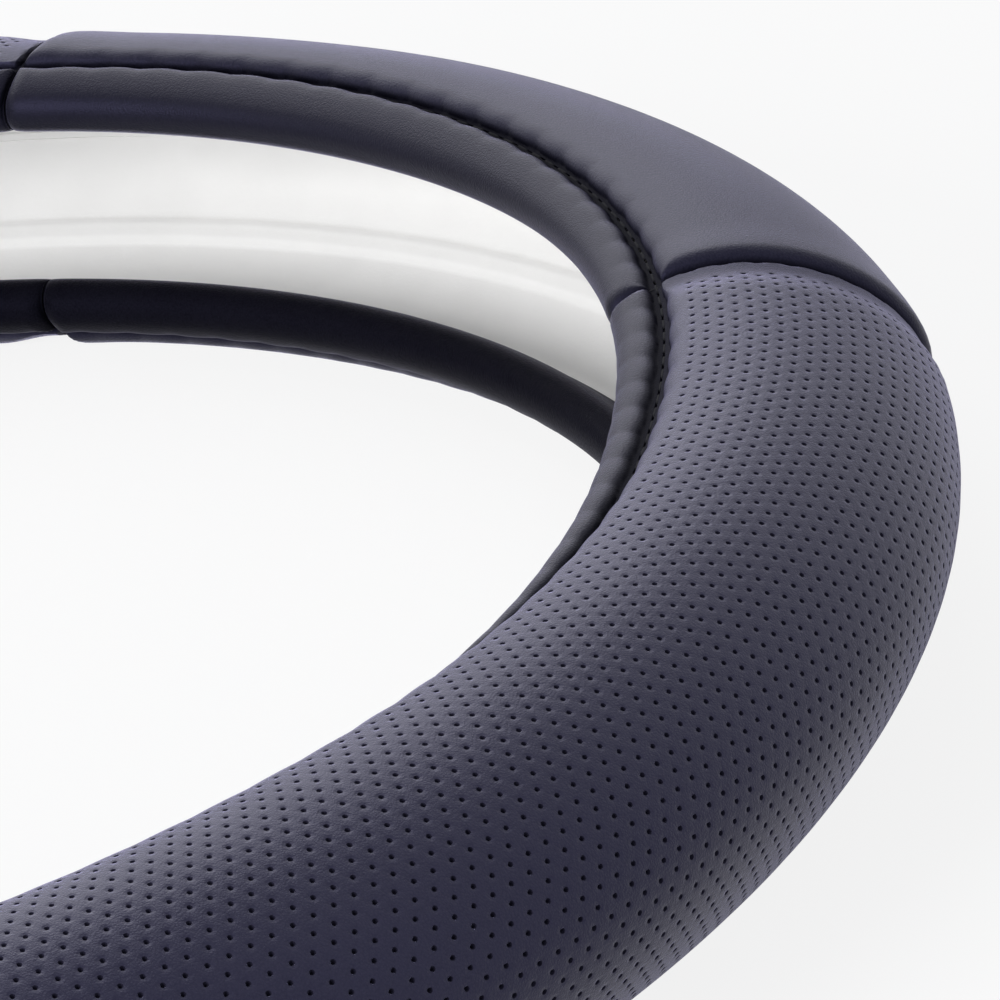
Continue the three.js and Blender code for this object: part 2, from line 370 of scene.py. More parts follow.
class NodeBuilder:
    """Adds nodes to one tree."""

    def __init__(self, tree):
        self.tree = tree

    def node(self, kind, settings=None, sockets=None):
        """Adds a node: its settings first, then the values or links of its sockets, by name or in order."""
        node = self.tree.nodes.new(kind)
        for name, setting in (settings or {}).items():
            setattr(node, name, setting)
        named = sockets.items() if isinstance(sockets, dict) else enumerate(sockets or ())
        for key, given in named:
            socket = node.inputs[key]
            if isinstance(given, Value):
                given = given.socket
            if isinstance(given, bpy.types.NodeSocket):
                self.tree.links.new(given, socket)
            else:
                socket.default_value = given
        return node

    def socket(self, kind, settings=None, sockets=None, output=0):
        """Adds a node and returns one of its outputs."""
        return self.node(kind, settings, sockets).outputs[output]

    def value(self, kind, settings=None, sockets=None, output=0):
        """Adds a node and returns one of its outputs as a number to reckon with."""
        return Value(self, self.socket(kind, settings, sockets, output))

    def components(self, vector):
        """The X and Y of a vector."""
        split = self.node("ShaderNodeSeparateXYZ", None, [vector])
        return Value(self, split.outputs["X"]), Value(self, split.outputs["Y"])

    def mix_colour(self, share, first, second):
        """Mixes two colours, by the sockets that a Mix node keeps for them."""
        return self.socket("ShaderNodeMix", {"data_type": "RGBA"}, {0: share, 6: first, 7: second}, 2)

    def noise(self, per_metre, detail=2.0, roughness=0.5):
        """Noise on the object's own coordinates, with so many waves in a metre."""
        place = self.socket("ShaderNodeTexCoord", output="Object")
        sockets = {"Vector": place, "Scale": per_metre, "Detail": detail, "Roughness": roughness}
        return self.value("ShaderNodeTexNoise", None, sockets, "Fac")

    def bump(self, height):
        """A normal from a height in metres."""
        return self.socket("ShaderNodeBump", None, {"Strength": 1.0, "Distance": 1.0, "Height": height})


def opaque(tone, shade=1.0):
    """A colour with full alpha, darkened by a shade."""
    return (*[part * shade for part in tone], 1.0)


def new_material(name):
    """A material with an empty tree, and its builder."""
    material = bpy.data.materials.new(name)
    material.use_nodes = True
    material.node_tree.nodes.clear()
    return material, NodeBuilder(material.node_tree)


def eased(value, start, end):
    """0 up to start, 1 from end on, and a smooth rise between."""
    share = np.clip((value - start) / (end - start), 0, 1)
    return share**2 * (3 - 2 * share)


def round_the_ring(values, turn):
    """Smooth closed curve through values that are spaced evenly round the ring."""
    values = np.array(values[:])
    place = np.asarray(turn) / (2 * math.pi) * len(values)
    index = np.floor(place).astype(int)
    t = place - index
    before, here, after, later = (values[(index + step) % len(values)] for step in (-1, 0, 1, 2))
    bend = 2 * before - 5 * here + 4 * after - later + t * (3 * (here - after) + later - before)
    return here + 0.5 * t * (after - before + t * bend)


class Tube:
    """Places on the dressed tube: turn about the wheel's axis, angle or arc round the section, and depth."""

    TABLE_POINTS = 2881
    RESTING_GAP = 0.02 * MILLIMETRE
    LIP_START = math.radians(114)
    LIP_END = math.radians(130)

    def __init__(self, shape):
        self.shape = shape
        self.centre_height = float(self.half_width(-math.pi / 2)) - shape.pressed_depth
        self.angles = np.linspace(-math.pi, math.pi, self.TABLE_POINTS)
        self.arcs = self.arc(self.angles)

    def half_width(self, angle):
        shape = self.shape
        return shape.tube_radius + shape.pear_swell * np.cos(3 * (angle - shape.pear_angle))

    def slope(self, angle):
        shape = self.shape
        return -3 * shape.pear_swell * np.sin(3 * (angle - shape.pear_angle))

    def arc(self, angle):
        """Length round the section from angle 0."""
        shape = self.shape
        bend = 8 / 3 * shape.pear_swell
        return shape.tube_radius * angle - bend * np.sin(3 * (angle - shape.pear_angle))

    def angle_at(self, arc):
        return np.interp(arc, self.arcs, self.angles)

    def section(self, angle, depth):
        """Distance from the wheel's axis and height above the floor."""
        reach = self.half_width(angle) - depth
        slope = self.slope(angle)
        out = self.shape.ring_radius + reach * np.cos(angle) - slope * np.sin(angle)
        up = self.centre_height + reach * np.sin(angle) + slope * np.cos(angle)
        return out, up

    def wander(self, turn, arc):
        """How far the leather at an arc is carried round the section with the wandering front seam."""
        share = eased(arc, 0.0, float(self.arc(self.shape.front_seam)))
        return round_the_ring(self.shape.seam_waves, turn) * self.shape.tube_radius * share

    def place(self, turn, out, up):
        """Points in space. The soft front lip stands in or hangs down, and nothing goes below the floor."""
        turn, out, up = np.broadcast_arrays(turn, out, up)
        angle = np.arctan2(up - self.centre_height, out - self.shape.ring_radius)
        soft = eased(angle, self.LIP_START, self.LIP_END)
        out = out - round_the_ring(self.shape.lip_waves, turn) * soft
        up = np.maximum(up - round_the_ring(self.shape.lip_drops, turn) * soft, self.RESTING_GAP)
        return np.stack([out * np.cos(turn), out * np.sin(turn), up], axis=-1)

    def layer(self, turn, angle, depth):
        """Points in space at a depth below the leather's outer face."""
        return self.place(turn, *self.section(angle, depth))

    def stretches(self):
        """The four stretches of leather: side, whether perforated, and the turns of their two seams."""
        half = self.shape.smooth_span / 2
        quarter = math.pi / 2
        return (
            ("right", True, -quarter + half, quarter - half),
            ("top", False, quarter - half, quarter + half),
            ("left", True, quarter + half, 3 * quarter - half),
            ("bottom", False, 3 * quarter - half, 3 * quarter + half),
        )


def even_lines(low, high, step):
    """Evenly spaced numbers from low to high, no further apart than step."""
    count = max(1, math.ceil((high - low) / step - ROUNDING))
    return list(np.linspace(low, high, count + 1))


def stepped_lines(low, step, count):
    """Numbers from low upwards, a number of equal steps."""
    return [low + i * step for i in range(count + 1)]


def framed_lines(low, high, middle):
    """Lines across a piece: those in the middle, with the lines of a rolled edge at either side."""
    first = [low + share * (middle[0] - low) for share in SEAM_SHARES[:-1]]
    last = [high - share * (high - middle[-1]) for share in SEAM_SHARES[:-1]]
    return first + middle + last[::-1]


class FlatSheet:
    """A flat pattern built from polygons on shared points, before it is laid on the tube."""

    STEPS_PER_METRE = 1e7

    def __init__(self):
        self.points = []
        self.lookup = {}
        self.faces = []

    def point(self, x, y, z=0.0):
        key = tuple(round(value * self.STEPS_PER_METRE) for value in (x, y, z))
        if key not in self.lookup:
            self.lookup[key] = len(self.points)
            self.points.append((x, y, z))
        return self.lookup[key]

    def band(self, low, low_xs, high, high_xs, z=0.0, upright=False, flip=False):
        """Polygons between two lines of points, cut wherever both lines have a point at the same place."""
        scale = self.STEPS_PER_METRE
        low_at = {round(x * scale): index for index, x in enumerate(low_xs)}
        high_at = {round(x * scale): index for index, x in enumerate(high_xs)}
        shared = sorted(low_at.keys() & high_at.keys())

        def on(line, x):
            return self.point(line, x, z) if upright else self.point(x, line, z)

        for start, end in zip(shared, shared[1:]):
            below = [on(low, x) for x in low_xs[low_at[start] : low_at[end] + 1]]
            above = [on(high, x) for x in high_xs[high_at[start] : high_at[end] + 1]]
            face = below + above[::-1]
            if upright != flip:
                face.reverse()
            self.faces.append(face)

    def grid(self, xs, ys, z=0.0, flip=False):
        """Quads on every crossing of two sets of lines."""
        for low, high in zip(ys, ys[1:]):
            self.band(low, xs, high, xs, z, flip=flip)

    def add_mesh(self, mesh, x=0.0, y=0.0):
        """Takes in a flat mesh, moved by x and y."""
        index = [self.point(v.co.x + x, v.co.y + y, v.co.z) for v in mesh.vertices]
        self.faces.extend([index[i] for i in polygon.vertices] for polygon in mesh.polygons)

    def wall(self, loop, low, high):
        """Quads between a closed loop of places at two heights. The loop runs anticlockwise."""
        for here, there in zip(loop, loop[1:] + loop[:1]):
            corners = ((*here, low), (*there, low), (*there, high), (*here, high))
            self.faces.append([self.point(*corner) for corner in corners])

    def close(self, xs, ys, thickness, thinning):
        """Edge walls and the backing of a panel whose outer skin has lines xs and ys along its border."""
        loop = [(x, ys[0]) for x in xs[:-1]]
        loop += [(xs[-1], y) for y in ys[:-1]]
        loop += [(x, ys[-1]) for x in xs[:0:-1]]
        loop += [(xs[0], y) for y in ys[:0:-1]]
        self.wall(loop, -thickness, 0.0)

        coarse_xs, coarse_ys = ([lines[0], *lines[1:-1:thinning], lines[-1]] for lines in (xs, ys))
        z = -thickness
        self.band(ys[0], xs, coarse_ys[1], coarse_xs, z, flip=True)
        self.band(coarse_ys[-2], coarse_xs, ys[-1], xs, z, flip=True)
        inner_ys = [y for y in ys if coarse_ys[1] - ROUNDING <= y <= coarse_ys[-2] + ROUNDING]
        self.band(xs[0], inner_ys, coarse_xs[1], coarse_ys[1:-1], z, upright=True, flip=True)
        self.band(coarse_xs[-2], coarse_ys[1:-1], xs[-1], inner_ys, z, upright=True, flip=True)
        self.grid(coarse_xs[1:-1], coarse_ys[1:-1], z, flip=True)


def add_object(name, data):
    """An object in the scene."""
    added = bpy.data.objects.new(name, data)
    bpy.context.scene.collection.objects.link(added)
    return added


def remove_object(helper):
    """Deletes a helper object and its data."""
    data = helper.data
    bpy.data.objects.remove(helper)
    if isinstance(data, bpy.types.Mesh):
        bpy.data.meshes.remove(data)
    else:
        bpy.data.curves.remove(data)


def helper_mesh(name, points, faces):
    """A helper object for a node tree, removed once the tree's result is a mesh."""
    mesh = bpy.data.meshes.new(name)
    mesh.from_pydata(points, [], faces)
    return add_object(name, mesh)


def mesh_from(name, points, faces, material, crease=LEATHER_CREASE):
    """A mesh object, shaded smoothly but for its creases."""
    mesh = bpy.data.meshes.new(name)
    mesh.from_pydata([tuple(point) for point in points], [], faces)
    mesh.materials.append(material)
    mesh.polygons.foreach_set("use_smooth", [True] * len(mesh.polygons))
    mesh.set_sharp_from_angle(angle=crease)
    mesh.update()
    return add_object(name, mesh)


def declare(piece, slot, *nodes):
    """Every piece rides on the cover's one body, and any parts of the model that it stands for are hidden;
    the slot is not used.
    """
    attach(piece, BODY)
    if nodes:
        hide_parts(*nodes)


def rolled_edge(distance, along, seam, pitch, pucker, valley, shoulder):
    """Depth of the leather beside a seam: it rolls into the groove, wider at each tight stitch."""
    puff = np.abs(np.sin(math.pi * along / pitch)) ** PUFF_POWER
    sway = pucker * (1 - 2 * puff)
    flank = shoulder * (1 + FLANK_SWAY * sway)
    rest = np.clip(1 - np.maximum(distance - valley * (1 + VALLEY_SWAY * sway), 0) / flank, 0, 1)
    return seam.groove * (1 - np.sqrt(1 - rest**2))


def uneven(turn, arc, shape, seam):
    """Height of the soft waves of leather over sponge, which cross each other."""
    x, y = turn * shape.ring_radius / MILLIMETRE, arc / MILLIMETRE
    total = sum(weight * np.sin(a * x + b * y + phase) for a, b, phase, weight in SOFT_WAVES)
    return seam.unevenness * total / sum(wave[-1] for wave in SOFT_WAVES)


def leather_depth(tube, seam, turn, arc, limits, perforated):
    """Depth of a panel's outer skin, drawn in by its four seams."""
    shape = tube.shape
    first, last, back, front = limits
    along = turn * (shape.ring_radius - shape.tube_radius / 2)
    to_long = np.minimum(front - arc, arc - back)
    to_cross = np.minimum(turn - first, last - turn) * shape.ring_radius
    drops = [rolled_edge(to_long, along, seam, seam.pucker_pitch, seam.pucker, seam.valley, seam.shoulder)]
    if perforated:
        valley, shoulder, ridge = seam.valley, seam.shoulder, 0.0
        drops.append(seam.sink * (1 - eased(to_cross, seam.sink_flat, seam.sink_width)))
    else:
        valley, shoulder = seam.ridge_valley, seam.ridge_shoulder
        ridge = seam.ridge * np.exp(-(((to_cross / shoulder - RIDGE_CREST) / RIDGE_SPREAD) ** 2))
    drops.append(rolled_edge(to_cross, arc, seam, seam.cross_pitch, seam.pucker, valley, shoulder))
    wavy = np.clip(np.minimum(to_long, to_cross) / (CALM_REACH * seam.shoulder), 0, 1)
    raised = np.clip(to_long / (RIDGE_REACH * seam.shoulder), 0, 1)
    return np.maximum.reduce(drops) - ridge * raised - uneven(turn, arc, shape, seam) * wavy


def panel_limits(tube, first, last):
    """The panel's own edges, half a seam gap inside its seams, and where they lie on the flat pattern."""
    shape = tube.shape
    edge = shape.seam_gap / 2
    turn_edge = edge / (shape.ring_radius - shape.tube_radius)
    start, end = first + turn_edge, last - turn_edge
    back = float(tube.arc(shape.back_seam)) + edge
    front = float(tube.arc(shape.front_seam)) - edge
    return (start, end, back, front), (start * shape.ring_radius, end * shape.ring_radius, back, front)


def lay_on_tube(tube, seam, sheet, limits, perforated):
    """Wraps a flat panel round the tube: x runs along the ring and y round the section.

    Returns the points, and how deep each lies in a seam.
    """
    thickness = tube.shape.leather_thickness
    along, arc, height = np.array(sheet.points).T
    turn = along / tube.shape.ring_radius
    angle = tube.angle_at(arc + tube.wander(turn, arc))
    outer = height > -thickness + SAME_POINT
    depth = leather_depth(tube, seam, turn, arc, limits, perforated) - height
    points = tube.layer(turn, angle, np.where(outer, depth, thickness))
    # The backing counts as deepest in a seam, so it takes the full painted seam shadow
    return points, np.where(outer, depth + np.minimum(height, 0), seam.groove)


def mark_groove(piece, depth, seam):
    """Notes on every point how deep it lies in a seam, as a share of the groove."""
    # The leather's material paints shadow in the seams from this mark
    marks = piece.data.attributes.new("groove", "FLOAT", "POINT")
    marks.data.foreach_set("value", np.clip(depth / seam.groove, 0, 1).astype(np.float32))


def set_uv(piece, name, values):
    """A UV map from one pair of numbers for each point."""
    layer = piece.data.uv_layers.new(name=name)
    corners = np.empty(len(piece.data.loops), dtype=np.int32)
    piece.data.loops.foreach_get("vertex_index", corners)
    layer.data.foreach_set("uv", np.asarray(values, dtype=np.float32)[corners].ravel())


def perforation_count(perforation, long_way, across):
    """Columns and rows of holes that fit inside a panel."""
    columns = int((long_way - 2 * perforation.end_margin) / perforation.pitch)
    rows = int((across - 2 * perforation.margin) / perforation.row)
    return columns, rows


def hole_cell(perforation):
    """One flat cell of leather with an eight-sided pit in it."""
    half_x, half_y = perforation.pitch / 2, perforation.row / 2
    right = [(half_x, -half_y), (half_x, half_y), (0, half_y)]
    border = right + [(-x, -y) for x, y in right]
    turns = [k * math.pi / 4 for k in range(8)]
    rim = [(perforation.radius * math.cos(turn), perforation.radius * math.sin(turn)) for turn in turns]
    points = [(x, y, 0.0) for x, y in border] + [(x, y, -perforation.dimple) for x, y in rim]
    bottom = len(points)
    points.append((0.0, 0.0, -perforation.depth))
    r = [len(border) + k for k in range(8)]
    faces = [
        (0, 1, r[0]),
        (1, r[1], r[0]),
        (0, r[0], r[7]),
        (1, 2, r[2], r[1]),
        (2, 3, r[3], r[2]),
        (3, 4, r[4]),
        (3, r[4], r[3]),
        (4, r[5], r[4]),
        (4, 5, r[6], r[5]),
        (5, 0, r[7], r[6]),
    ]
    faces += [(r[k], r[(k + 1) % 8], bottom) for k in range(8)]
    return helper_mesh("hole_cell", points, faces)


def half_cell(perforation):
    """The plain half cell at each end of every second row."""
    half_x, half_y = perforation.pitch / 4, perforation.row / 2
    points = [(-half_x, -half_y, 0), (half_x, -half_y, 0), (half_x, half_y, 0), (-half_x, half_y, 0)]
    return helper_mesh("half_cell", points, [(0, 1, 2, 3)])


def geometry_tree(name, inputs):
    """A Geometry Nodes tree with named inputs. Returns the tree, its builder and a socket for each input."""
    tree = bpy.data.node_groups.new(name, "GeometryNodeTree")
    tree.interface.new_socket(name="Geometry", in_out="INPUT", socket_type="NodeSocketGeometry")
    for label, kind in inputs.items():
        tree.interface.new_socket(name=label, in_out="INPUT", socket_type=f"NodeSocket{kind}")
    tree.interface.new_socket(name="Geometry", in_out="OUTPUT", socket_type="NodeSocketGeometry")
    builder = NodeBuilder(tree)
    return tree, builder, builder.node("NodeGroupInput").outputs


def finish_tree(builder, geometry, material):
    """Ends a tree: real geometry, then its material."""
    realized = builder.socket("GeometryNodeRealizeInstances", None, {"Geometry": geometry})
    merging = {"Geometry": realized, "Distance": SAME_POINT}
    merged = builder.socket("GeometryNodeMergeByDistance", None, merging)
    finished = builder.socket("GeometryNodeSetMaterial", None, {"Geometry": merged, "Material": material})
    builder.node("NodeGroupOutput", None, [finished])


def run_tree(carrier, tree, values):
    """The plain mesh that a tree makes on a carrier. Both are removed, with the objects it was given."""
    modifier = carrier.modifiers.new(tree.name, "NODES")
    modifier.node_group = tree
    identifiers = {
        item.name: item.identifier
        for item in tree.interface.items_tree
        if item.item_type == "SOCKET" and item.in_out == "INPUT"
    }
    for label, value in values.items():
        modifier[identifiers[label]] = value
    carrier.update_tag()
    evaluated = carrier.evaluated_get(bpy.context.evaluated_depsgraph_get())
    mesh = bpy.data.meshes.new_from_object(evaluated)
    given = [value for value in values.values() if isinstance(value, bpy.types.Object)]
    for helper in (carrier, *given):
        remove_object(helper)
    bpy.data.node_groups.remove(tree)
    return mesh


def instances(builder, points, shape, rotation=None):
    """Copies of a helper object on points."""
    copied = builder.socket("GeometryNodeObjectInfo", None, {"Object": shape}, "Geometry")
    sockets = {"Points": points, "Instance": copied}
    if rotation:
        sockets["Rotation"] = rotation
    return builder.socket("GeometryNodeInstanceOnPoints", None, sockets)


def perforation_tree():
    """Staggered rows of cells: a grid of points, every second row moved on by half a pitch."""
    inputs = {
        "Hole Cell": "Object",
        "Half Cell": "Object",
        "Columns": "Int",
        "Rows": "Int",
        "Pitch": "Float",
        "Row Distance": "Float",
        "Leather": "Material",
    }
    tree, builder, entry = geometry_tree("Perforated Field", inputs)
    columns, rows, pitch, row = (
        Value(builder, entry[label]) for label in ("Columns", "Rows", "Pitch", "Row Distance")
    )

    def vector(x, y):
        return builder.socket("ShaderNodeCombineXYZ", None, {"X": x, "Y": y})

    width, height = (columns - 1) * pitch, (rows - 1) * row
    grid_sockets = {"Size X": width, "Size Y": height, "Vertices X": columns, "Vertices Y": rows}
    grid = builder.socket("GeometryNodeMeshGrid", None, grid_sockets, "Mesh")
    x, y = builder.components(builder.socket("GeometryNodeInputPosition"))
    odd = ((y + height / 2) / row + 0.5).floor().remainder(2)
    shift = vector(width / 2 + pitch / 2 + odd * (pitch / 2), height / 2 + row / 2)
    moved = builder.socket("GeometryNodeSetPosition", None, {"Geometry": grid, "Offset": shift})
    surplus = odd.above(0.5) * x.above(columns * pitch - pitch / 4)
    kept = builder.socket("GeometryNodeDeleteGeometry", None, {"Geometry": moved, "Selection": surplus})

    parts = [instances(builder, kept, entry["Hole Cell"])]
    half_rows = (rows / 2).floor()
    for centre in (pitch / 4, columns * pitch - pitch / 4):
        start, step = vector(centre, row * 1.5), vector(0.0, row * 2)
        line_sockets = {"Count": half_rows, "Start Location": start, "Offset": step}
        line = builder.socket("GeometryNodeMeshLine", None, line_sockets)
        parts.append(instances(builder, line, entry["Half Cell"]))
    joined = builder.node("GeometryNodeJoinGeometry")
    for part in parts:
        builder.tree.links.new(part, joined.inputs[0])
    finish_tree(builder, joined.outputs[0], entry["Leather"])
    return tree


def perforated_field(perforation, columns, rows, material):
    """Flat mesh of the whole perforated field, with its corner at the origin."""
    values = {
        "Hole Cell": hole_cell(perforation),
        "Half Cell": half_cell(perforation),
        "Columns": columns,
        "Rows": rows,
        "Pitch": perforation.pitch,
        "Row Distance": perforation.row,
        "Leather": material,
    }
    return run_tree(helper_mesh("field_carrier", [(0, 0, 0)], []), perforation_tree(), values)


def leather_grain(builder, finish, shade):
    """Colour, roughness and height of fine matt leather, from its place on the object."""
    place = builder.socket("ShaderNodeTexCoord", output="Object")
    cell_sockets = {"Vector": place, "Scale": 1 / finish.grain_size, "Randomness": 1.0}
    cells = builder.value("ShaderNodeTexVoronoi", {"feature": "F1"}, cell_sockets, "Distance")
    fine = builder.noise(1 / (0.6 * finish.grain_size), roughness=0.6)
    patches = builder.noise(1 / finish.patch_size)
    height = (1 - cells) * CELL_HEIGHT + fine * FINE_HEIGHT
    tone = (fine - 0.5) * FINE_TONE + (patches - 0.5) * PATCH_TONE + (0.5 - cells) * CELL_TONE + 0.5
    # A shade below 1 darkens both tones; the edge strips use it as painted shade
    tones = opaque(finish.leather_dark, shade), opaque(finish.leather_light, shade)
    base = builder.mix_colour(tone.ramp(0.0, 1.0), *tones)
    roughness = finish.roughness + (fine - 0.5) * FINE_ROUGHNESS + (patches - 0.5) * PATCH_ROUGHNESS
    return base, roughness, height


def hole_mask(builder, perforation, columns, rows):
    """Distance from the nearest hole's middle, and 1 where the leather is perforated, on the pattern."""
    u, v = builder.components(builder.socket("ShaderNodeUVMap", {"uv_map": "pattern"}))
    offset = v.floor().remainder(2) * 0.5
    shifted = u + offset
    index = shifted.floor()
    across = (shifted.fraction() - 0.5) * perforation.pitch
    up = (v.fraction() - 0.5) * perforation.row
    distance = (across * across + up * up) ** 0.5
    inside = index.above(offset * 2 - 0.5) * index.below(columns - 0.5) * v.above(0.0) * v.below(rows)
    return distance, inside


def leather_material(name, finish, perforation=None, columns=0, rows=0, shade=1.0, gloss=1.0):
    """Matt leather with a soft sheen, with painted shadow in its seams, and round holes darkened by painted
    shadow where it is perforated.
    """
    material, builder = new_material(name)
    base, roughness, height = leather_grain(builder, finish, shade)
    bump_height = height * finish.grain_height
    if perforation:
        distance, inside = hole_mask(builder, perforation, columns, rows)
        radius = perforation.radius
        hole = distance.ramp(RIM_START * radius, RIM_END * radius) * inside
        dimple = distance.ramp(DIMPLE_START * perforation.row, DIMPLE_END * radius) * inside
        # Painted shadow: the leather inside each hole is darkened towards the dark tone
        base = builder.mix_colour(hole, base, opaque(finish.leather_dark, finish.hole_painted_shadow))
        roughness = roughness + hole * finish.hole_roughness
        bump_height = bump_height - dimple * (DIMPLE_RELIEF * perforation.dimple)
    sockets = {
        "Base Color": base,
        "Roughness": roughness,
        "Normal": builder.bump(bump_height),
        "IOR": 1 + gloss * finish.gloss,
        "Specular Tint": opaque(finish.specular_tint),
        "Sheen Weight": finish.sheen * gloss,
        "Sheen Roughness": finish.sheen_roughness,
        "Sheen Tint": opaque(finish.sheen_tint),
    }
    skin = builder.socket("ShaderNodeBsdfPrincipled", None, sockets)
    # Painted shadow: the bottom of each seam is mixed towards a darker, dull leather, more so deeper in the
    # groove
    painted_seam_shadow_tone = opaque(finish.leather_dark, finish.seam_shadow_tone)
    painted_seam_shadow = builder.socket("ShaderNodeBsdfDiffuse", None, {"Color": painted_seam_shadow_tone, "Roughness": 0.5})
    groove = builder.value("ShaderNodeAttribute", {"attribute_name": "groove"}, None, "Fac")
    share = groove.ramp(SEAM_SHADOW_START, SEAM_SHADOW_END) * finish.seam_shadow_share
    mixed = builder.socket("ShaderNodeMixShader", None, [share, skin, painted_seam_shadow])
    builder.node("ShaderNodeOutputMaterial", None, {"Surface": mixed})
    return material


def plain_material(name, sockets_from):
    """A material of one surface, whose sockets a function works out with the tree's builder."""
    material, builder = new_material(name)
    surface = builder.socket("ShaderNodeBsdfPrincipled", None, sockets_from(builder))
    builder.node("ShaderNodeOutputMaterial", None, {"Surface": surface})
    return material


def thread_material(finish):
    """Twisted polyester thread."""

    def sockets(builder):
        twist = builder.noise(TWIST_WAVES)
        tones = opaque(finish.thread_colour, 0.6), opaque(finish.thread_colour)
        return {
            "Base Color": builder.mix_colour(twist, *tones),
            "Roughness": finish.thread_roughness + twist * 0.2,
            "IOR": 1.3,
            "Normal": builder.bump(twist * finish.twist_height),
        }

    return plain_material("sewing_thread", sockets)


def rubber_material(finish):
    """Pale moulded rubber with a faint mottle."""

    def sockets(builder):
        fine, clouds = builder.noise(MOTTLE_WAVES, 3.0), builder.noise(CLOUD_WAVES, 3.0)
        tones = opaque(finish.rubber_colour, 0.94), opaque(finish.rubber_colour)
        return {
            "Base Color": builder.mix_colour(clouds.ramp(0.3, 0.75), *tones),
            "Roughness": finish.rubber_roughness + fine * 0.14,
            "Normal": builder.bump(fine * finish.mottle_height),
        }

    return plain_material("pale_rubber", sockets)


def perforated_panel(tube, seam, perforation, finish, side, first, last):
    """One perforated panel: the field of holes, its plain margins, edges and backing."""
    thickness = tube.shape.leather_thickness
    pitch, row = perforation.pitch, perforation.row
    limits, (x_low, x_high, y_low, y_high) = panel_limits(tube, first, last)
    columns, rows = perforation_count(perforation, x_high - x_low, y_high - y_low)
    field_x = (x_low + x_high - columns * pitch) / 2
    field_y = (y_low + y_high - rows * row) / 2
    name = f"perforated_leather_{side}"
    material = leather_material(name, finish, perforation, columns, rows, gloss=finish.panel_gloss)

    # The field has lines at its cells' corners, and the margins have lines at half that distance
    cell_xs = stepped_lines(field_x, pitch / 2, 2 * columns)
    cell_ys = stepped_lines(field_y, row, rows)
    fine_xs = stepped_lines(field_x, pitch / 4, 4 * columns)
    fine_ys = stepped_lines(field_y, row / 2, 2 * rows)
    xs = framed_lines(x_low, x_high, fine_xs)
    ys = framed_lines(y_low, y_high, fine_ys)
    joint_xs = framed_lines(x_low, x_high, cell_xs)
    first_xs, last_xs = xs[:ROLLED_LINES], xs[-ROLLED_LINES:]
    first_ys, last_ys = ys[:ROLLED_LINES], ys[-ROLLED_LINES:]

    sheet = FlatSheet()
    sheet.add_mesh(perforated_field(perforation, columns, rows, material), field_x, field_y)
    sheet.grid(xs, first_ys)
    sheet.grid(xs, last_ys)
    sheet.band(first_ys[-1], xs, fine_ys[0], joint_xs)
    sheet.band(fine_ys[-1], joint_xs, last_ys[0], xs)
    sheet.grid(first_xs, fine_ys)
    sheet.grid(last_xs, fine_ys)
    sheet.band(first_xs[-1], fine_ys, fine_xs[0], cell_ys, upright=True)
    sheet.band(fine_xs[-1], cell_ys, last_xs[0], fine_ys, upright=True)
    sheet.close(xs, ys, thickness, PERFORATED_THINNING)

    points, depth = lay_on_tube(tube, seam, sheet, limits, True)
    piece = mesh_from(name, points, sheet.faces, material, PERFORATED_CREASE)
    mark_groove(piece, depth, seam)
    flat = np.array(sheet.points)
    pattern = (flat[:, :2] - (field_x, field_y)) / (pitch, row)
    pattern[flat[:, 2] < -thickness + SAME_POINT] = OFF_PATTERN
    set_uv(piece, "pattern", pattern)
    return piece


def smooth_panel(tube, seam, side, first, last, material):
    """One plain panel: rolled edges, a low ridge beside each cross seam, and its backing."""
    limits, (x_low, x_high, y_low, y_high) = panel_limits(tube, first, last)
    border = ROLLED_REACH * seam.shoulder
    xs = framed_lines(x_low, x_high, even_lines(x_low + border, x_high - border, PLAIN_STEP_ALONG))
    ys = framed_lines(y_low, y_high, even_lines(y_low + border, y_high - border, PLAIN_STEP_ROUND))
    sheet = FlatSheet()
    sheet.grid(xs, ys)
    sheet.close(xs, ys, tube.shape.leather_thickness, PLAIN_THINNING)
    points, depth = lay_on_tube(tube, seam, sheet, limits, False)
    piece = mesh_from(f"smooth_leather_{side}", points, sheet.faces, material)
    mark_groove(piece, depth, seam)
    return piece


def lip_arc(tube, angle, side, depth, radius, steps):
    """Half turn round a lip, from its outside to its inside, as distances and heights."""
    out, up = tube.section(angle, depth)
    turns = np.linspace(0, math.pi, steps + 1)
    arm_out = np.cos(turns) * math.cos(angle) - side * np.sin(turns) * math.sin(angle)
    arm_up = np.cos(turns) * math.sin(angle) + side * np.sin(turns) * math.cos(angle)
    return out + radius * arm_out, up + radius * arm_up


def loft(name, rings, closed, material, crease=LEATHER_CREASE):
    """A solid through rings of points. Each ring runs anticlockwise as seen from the lower turn."""
    stations, size = rings.shape[:2]
    faces = []
    for row in range(stations if closed else stations - 1):
        after = (row + 1) % stations
        for i in range(size):
            j = (i + 1) % size
            faces.append((row * size + i, after * size + i, after * size + j, row * size + j))
    if not closed:
        faces.append(tuple(range(size)))
        faces.append(tuple((stations - 1) * size + i for i in range(size))[::-1])
    return mesh_from(name, rings.reshape(-1, 3), faces, material, crease)


def tail_depth(shape):
    """Depth of the strips' glued tails, at the face that touches the liner."""
    return shape.leather_thickness + 2 * shape.layer_gap + shape.liner_wall


def strip_tail(tube, lip_angle, side):
    """The hidden part of a strip's section: its tail inside the liner and the fold's inner face."""
    shape = tube.shape
    outer_depth = tail_depth(shape)
    inner_depth = outer_depth + shape.tail_thickness
    tail_turn = shape.tail_length / (shape.tube_radius - inner_depth)
    angles = lip_angle - side * np.linspace(0, tail_turn, TAIL_STEPS + 1)
    fold_depth = shape.leather_thickness + shape.layer_gap + shape.liner_wall / 2
    fold_radius = shape.liner_wall / 2 + shape.layer_gap
    fold = lip_arc(tube, lip_angle, side, fold_depth, fold_radius, FOLD_STEPS)
    parts = (
        tube.section(angles[1:], inner_depth),
        tube.section(angles[::-1], outer_depth),
        [part[-2::-1] for part in fold],
    )
    return np.concatenate(parts, axis=1)


